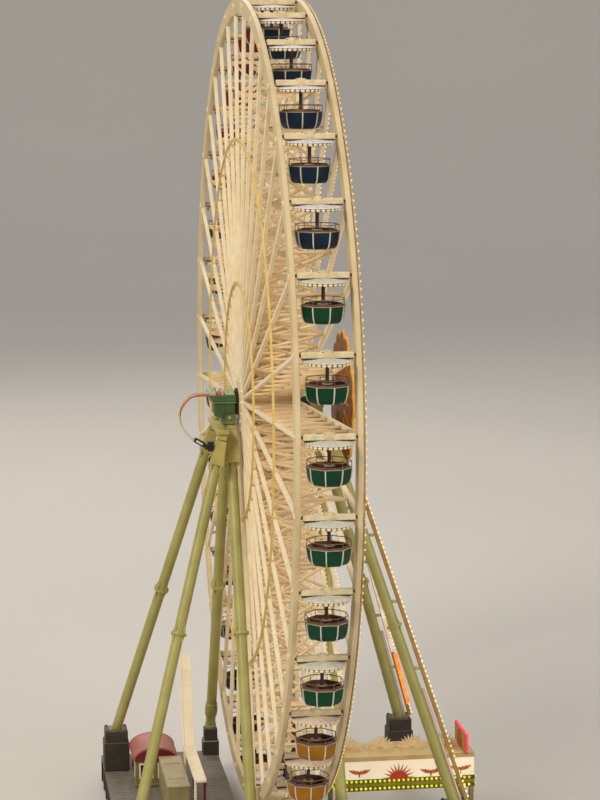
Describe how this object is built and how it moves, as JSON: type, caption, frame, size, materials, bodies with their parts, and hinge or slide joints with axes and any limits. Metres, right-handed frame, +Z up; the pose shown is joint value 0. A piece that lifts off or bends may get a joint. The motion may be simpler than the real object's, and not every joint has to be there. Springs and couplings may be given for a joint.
{
  "type": "model ferris wheel",
  "caption": "Table-top model of a travelling ferris wheel with level-hanging round cabins, splayed legs and a geared drive.",
  "frame": {"origin": "under the middle of the whole outline, on the ground; the wheel's middle plane lies 18.1 mm behind it at y = +0.0181", "axes": "+Z up, wheel axle along Y, the motor side faces +Y and the lit show side faces -Y"},
  "size_m": [0.5256, 0.2378, 0.5372],
  "materials": {
    "cream_plastic": "satin moulded cream plastic",
    "olive_plastic": "satin moulded olive plastic",
    "dark_green": "satin painted dark green",
    "black_lead": "soft insulation",
    "base_grey": "matt dark grey",
    "roof_red": "satin red plastic",
    "sun_yellow": "painted orange yellow",
    "cabin_blue": "dark blue plastic with cream ribs",
    "cabin_green": "green plastic with cream ribs",
    "cabin_ochre": "ochre plastic with cream ribs",
    "cabin_red": "dark red plastic with cream ribs"
  },
  "bodies": {
    "frame": {"leg_rear_main_near": "olive_plastic", "leg_rear_main_far": "olive_plastic", "leg_rear_outrigger_near": "olive_plastic", "leg_rear_outrigger_far": "olive_plastic", "leg_front_main_near": "olive_plastic", "leg_front_main_far": "olive_plastic", "leg_front_outrigger_near": "olive_plastic", "leg_front_outrigger_far": "olive_plastic", "head_rear": "olive_plastic", "head_front": "olive_plastic", "motor_gearbox": "dark_green", "motor_leads": "black_lead", "base_rear": "base_grey", "base_front": "base_grey", "entrance_portal": "cream_plastic", "ticket_booth": "roof_red", "store_box": "olive_plastic", "folded_panel": "cream_plastic"},
    "wheel": {"rim_back": "cream_plastic", "rim_front": "cream_plastic", "spokes_upper": "cream_plastic", "spokes_lower": "cream_plastic", "hub_drum": "cream_plastic", "sun_ornament": "sun_yellow"},
    "cabin_01": {"cabin_01": "cabin_green"},
    "cabin_02": {"cabin_02": "cabin_green"},
    "cabin_03": {"cabin_03": "cabin_green"},
    "cabin_04": {"cabin_04": "cabin_blue"},
    "cabin_05": {"cabin_05": "cabin_blue"},
    "cabin_06": {"cabin_06": "cabin_blue"},
    "cabin_07": {"cabin_07": "cabin_blue"},
    "cabin_08": {"cabin_08": "cabin_blue"},
    "cabin_09": {"cabin_09": "cabin_blue"},
    "cabin_10": {"cabin_10": "cabin_red"},
    "cabin_11": {"cabin_11": "cabin_red"},
    "cabin_12": {"cabin_12": "cabin_red"},
    "cabin_13": {"cabin_13": "cabin_red"},
    "cabin_14": {"cabin_14": "cabin_red"},
    "cabin_15": {"cabin_15": "cabin_red"},
    "cabin_16": {"cabin_16": "cabin_green"},
    "cabin_17": {"cabin_17": "cabin_green"},
    "cabin_18": {"cabin_18": "cabin_green"},
    "cabin_19": {"cabin_19": "cabin_green"},
    "cabin_20": {"cabin_20": "cabin_green"},
    "cabin_21": {"cabin_21": "cabin_green"},
    "cabin_22": {"cabin_22": "cabin_blue"},
    "cabin_23": {"cabin_23": "cabin_blue"},
    "cabin_24": {"cabin_24": "cabin_blue"},
    "cabin_25": {"cabin_25": "cabin_blue"},
    "cabin_26": {"cabin_26": "cabin_blue"},
    "cabin_27": {"cabin_27": "cabin_blue"},
    "cabin_28": {"cabin_28": "cabin_ochre"},
    "cabin_29": {"cabin_29": "cabin_ochre"},
    "cabin_30": {"cabin_30": "cabin_ochre"},
    "cabin_31": {"cabin_31": "cabin_ochre"},
    "cabin_32": {"cabin_32": "cabin_ochre"},
    "cabin_33": {"cabin_33": "cabin_ochre"},
    "cabin_34": {"cabin_34": "cabin_green"},
    "cabin_35": {"cabin_35": "cabin_green"},
    "cabin_36": {"cabin_36": "cabin_green"}
  },
  "joints": [
    {"name": "wheel_spin", "type": "hinge", "parent": "frame", "child": "wheel", "pos_m": [0, 0.01812, 0.285], "axis": [0, 1, 0], "continuous": true},
    {"name": "cabin_01_hang", "type": "hinge", "parent": "wheel", "child": "cabin_01", "pos_m": [-0.24923, 0.01812, 0.30462], "axis": [0, 1, 0], "continuous": true},
    {"name": "cabin_02_hang", "type": "hinge", "parent": "wheel", "child": "cabin_02", "pos_m": [-0.24204, 0.01812, 0.34759], "axis": [0, 1, 0], "continuous": true},
    {"name": "cabin_03_hang", "type": "hinge", "parent": "wheel", "child": "cabin_03", "pos_m": [-0.22749, 0.01812, 0.38867], "axis": [0, 1, 0], "continuous": true},
    {"name": "cabin_04_hang", "type": "hinge", "parent": "wheel", "child": "cabin_04", "pos_m": [-0.20603, 0.01812, 0.4266], "axis": [0, 1, 0], "continuous": true},
    {"name": "cabin_05_hang", "type": "hinge", "parent": "wheel", "child": "cabin_05", "pos_m": [-0.17831, 0.01812, 0.46023], "axis": [0, 1, 0], "continuous": true},
    {"name": "cabin_06_hang", "type": "hinge", "parent": "wheel", "child": "cabin_06", "pos_m": [-0.14518, 0.01812, 0.48853], "axis": [0, 1, 0], "continuous": true},
    {"name": "cabin_07_hang", "type": "hinge", "parent": "wheel", "child": "cabin_07", "pos_m": [-0.10763, 0.01812, 0.51065], "axis": [0, 1, 0], "continuous": true},
    {"name": "cabin_08_hang", "type": "hinge", "parent": "wheel", "child": "cabin_08", "pos_m": [-0.06681, 0.01812, 0.52591], "axis": [0, 1, 0], "continuous": true},
    {"name": "cabin_09_hang", "type": "hinge", "parent": "wheel", "child": "cabin_09", "pos_m": [-0.02396, 0.01812, 0.53385], "axis": [0, 1, 0], "continuous": true},
    {"name": "cabin_10_hang", "type": "hinge", "parent": "wheel", "child": "cabin_10", "pos_m": [0.01962, 0.01812, 0.53423], "axis": [0, 1, 0], "continuous": true},
    {"name": "cabin_11_hang", "type": "hinge", "parent": "wheel", "child": "cabin_11", "pos_m": [0.06259, 0.01812, 0.52704], "axis": [0, 1, 0], "continuous": true},
    {"name": "cabin_12_hang", "type": "hinge", "parent": "wheel", "child": "cabin_12", "pos_m": [0.10367, 0.01812, 0.51249], "axis": [0, 1, 0], "continuous": true},
    {"name": "cabin_13_hang", "type": "hinge", "parent": "wheel", "child": "cabin_13", "pos_m": [0.1416, 0.01812, 0.49103], "axis": [0, 1, 0], "continuous": true},
    {"name": "cabin_14_hang", "type": "hinge", "parent": "wheel", "child": "cabin_14", "pos_m": [0.17523, 0.01812, 0.46331], "axis": [0, 1, 0], "continuous": true},
    {"name": "cabin_15_hang", "type": "hinge", "parent": "wheel", "child": "cabin_15", "pos_m": [0.20353, 0.01812, 0.43018], "axis": [0, 1, 0], "continuous": true},
    {"name": "cabin_16_hang", "type": "hinge", "parent": "wheel", "child": "cabin_16", "pos_m": [0.22565, 0.01812, 0.39263], "axis": [0, 1, 0], "continuous": true},
    {"name": "cabin_17_hang", "type": "hinge", "parent": "wheel", "child": "cabin_17", "pos_m": [0.24091, 0.01812, 0.35181], "axis": [0, 1, 0], "continuous": true},
    {"name": "cabin_18_hang", "type": "hinge", "parent": "wheel", "child": "cabin_18", "pos_m": [0.24885, 0.01812, 0.30896], "axis": [0, 1, 0], "continuous": true},
    {"name": "cabin_19_hang", "type": "hinge", "parent": "wheel", "child": "cabin_19", "pos_m": [0.24923, 0.01812, 0.26538], "axis": [0, 1, 0], "continuous": true},
    {"name": "cabin_20_hang", "type": "hinge", "parent": "wheel", "child": "cabin_20", "pos_m": [0.24204, 0.01812, 0.2224], "axis": [0, 1, 0], "continuous": true},
    {"name": "cabin_21_hang", "type": "hinge", "parent": "wheel", "child": "cabin_21", "pos_m": [0.22749, 0.01812, 0.18133], "axis": [0, 1, 0], "continuous": true},
    {"name": "cabin_22_hang", "type": "hinge", "parent": "wheel", "child": "cabin_22", "pos_m": [0.20603, 0.01812, 0.1434], "axis": [0, 1, 0], "continuous": true},
    {"name": "cabin_23_hang", "type": "hinge", "parent": "wheel", "child": "cabin_23", "pos_m": [0.17831, 0.01812, 0.10977], "axis": [0, 1, 0], "continuous": true},
    {"name": "cabin_24_hang", "type": "hinge", "parent": "wheel", "child": "cabin_24", "pos_m": [0.14518, 0.01812, 0.08147], "axis": [0, 1, 0], "continuous": true},
    {"name": "cabin_25_hang", "type": "hinge", "parent": "wheel", "child": "cabin_25", "pos_m": [0.10763, 0.01812, 0.05935], "axis": [0, 1, 0], "continuous": true},
    {"name": "cabin_26_hang", "type": "hinge", "parent": "wheel", "child": "cabin_26", "pos_m": [0.06681, 0.01812, 0.04409], "axis": [0, 1, 0], "continuous": true},
    {"name": "cabin_27_hang", "type": "hinge", "parent": "wheel", "child": "cabin_27", "pos_m": [0.02396, 0.01812, 0.03615], "axis": [0, 1, 0], "continuous": true},
    {"name": "cabin_28_hang", "type": "hinge", "parent": "wheel", "child": "cabin_28", "pos_m": [-0.01962, 0.01812, 0.03577], "axis": [0, 1, 0], "continuous": true},
    {"name": "cabin_29_hang", "type": "hinge", "parent": "wheel", "child": "cabin_29", "pos_m": [-0.06259, 0.01812, 0.04296], "axis": [0, 1, 0], "continuous": true},
    {"name": "cabin_30_hang", "type": "hinge", "parent": "wheel", "child": "cabin_30", "pos_m": [-0.10367, 0.01812, 0.05751], "axis": [0, 1, 0], "continuous": true},
    {"name": "cabin_31_hang", "type": "hinge", "parent": "wheel", "child": "cabin_31", "pos_m": [-0.1416, 0.01812, 0.07897], "axis": [0, 1, 0], "continuous": true},
    {"name": "cabin_32_hang", "type": "hinge", "parent": "wheel", "child": "cabin_32", "pos_m": [-0.17523, 0.01812, 0.10669], "axis": [0, 1, 0], "continuous": true},
    {"name": "cabin_33_hang", "type": "hinge", "parent": "wheel", "child": "cabin_33", "pos_m": [-0.20353, 0.01812, 0.13982], "axis": [0, 1, 0], "continuous": true},
    {"name": "cabin_34_hang", "type": "hinge", "parent": "wheel", "child": "cabin_34", "pos_m": [-0.22565, 0.01812, 0.17737], "axis": [0, 1, 0], "continuous": true},
    {"name": "cabin_35_hang", "type": "hinge", "parent": "wheel", "child": "cabin_35", "pos_m": [-0.24091, 0.01812, 0.21819], "axis": [0, 1, 0], "continuous": true},
    {"name": "cabin_36_hang", "type": "hinge", "parent": "wheel", "child": "cabin_36", "pos_m": [-0.24885, 0.01812, 0.26104], "axis": [0, 1, 0], "continuous": true}
  ],
  "couplings": [
    {"joint": "cabin_01_hang", "follows": "wheel_spin", "ratio": -1},
    {"joint": "cabin_02_hang", "follows": "wheel_spin", "ratio": -1},
    {"joint": "cabin_03_hang", "follows": "wheel_spin", "ratio": -1},
    {"joint": "cabin_04_hang", "follows": "wheel_spin", "ratio": -1},
    {"joint": "cabin_05_hang", "follows": "wheel_spin", "ratio": -1},
    {"joint": "cabin_06_hang", "follows": "wheel_spin", "ratio": -1},
    {"joint": "cabin_07_hang", "follows": "wheel_spin", "ratio": -1},
    {"joint": "cabin_08_hang", "follows": "wheel_spin", "ratio": -1},
    {"joint": "cabin_09_hang", "follows": "wheel_spin", "ratio": -1},
    {"joint": "cabin_10_hang", "follows": "wheel_spin", "ratio": -1},
    {"joint": "cabin_11_hang", "follows": "wheel_spin", "ratio": -1},
    {"joint": "cabin_12_hang", "follows": "wheel_spin", "ratio": -1},
    {"joint": "cabin_13_hang", "follows": "wheel_spin", "ratio": -1},
    {"joint": "cabin_14_hang", "follows": "wheel_spin", "ratio": -1},
    {"joint": "cabin_15_hang", "follows": "wheel_spin", "ratio": -1},
    {"joint": "cabin_16_hang", "follows": "wheel_spin", "ratio": -1},
    {"joint": "cabin_17_hang", "follows": "wheel_spin", "ratio": -1},
    {"joint": "cabin_18_hang", "follows": "wheel_spin", "ratio": -1},
    {"joint": "cabin_19_hang", "follows": "wheel_spin", "ratio": -1},
    {"joint": "cabin_20_hang", "follows": "wheel_spin", "ratio": -1},
    {"joint": "cabin_21_hang", "follows": "wheel_spin", "ratio": -1},
    {"joint": "cabin_22_hang", "follows": "wheel_spin", "ratio": -1},
    {"joint": "cabin_23_hang", "follows": "wheel_spin", "ratio": -1},
    {"joint": "cabin_24_hang", "follows": "wheel_spin", "ratio": -1},
    {"joint": "cabin_25_hang", "follows": "wheel_spin", "ratio": -1},
    {"joint": "cabin_26_hang", "follows": "wheel_spin", "ratio": -1},
    {"joint": "cabin_27_hang", "follows": "wheel_spin", "ratio": -1},
    {"joint": "cabin_28_hang", "follows": "wheel_spin", "ratio": -1},
    {"joint": "cabin_29_hang", "follows": "wheel_spin", "ratio": -1},
    {"joint": "cabin_30_hang", "follows": "wheel_spin", "ratio": -1},
    {"joint": "cabin_31_hang", "follows": "wheel_spin", "ratio": -1},
    {"joint": "cabin_32_hang", "follows": "wheel_spin", "ratio": -1},
    {"joint": "cabin_33_hang", "follows": "wheel_spin", "ratio": -1},
    {"joint": "cabin_34_hang", "follows": "wheel_spin", "ratio": -1},
    {"joint": "cabin_35_hang", "follows": "wheel_spin", "ratio": -1},
    {"joint": "cabin_36_hang", "follows": "wheel_spin", "ratio": -1}
  ]
}
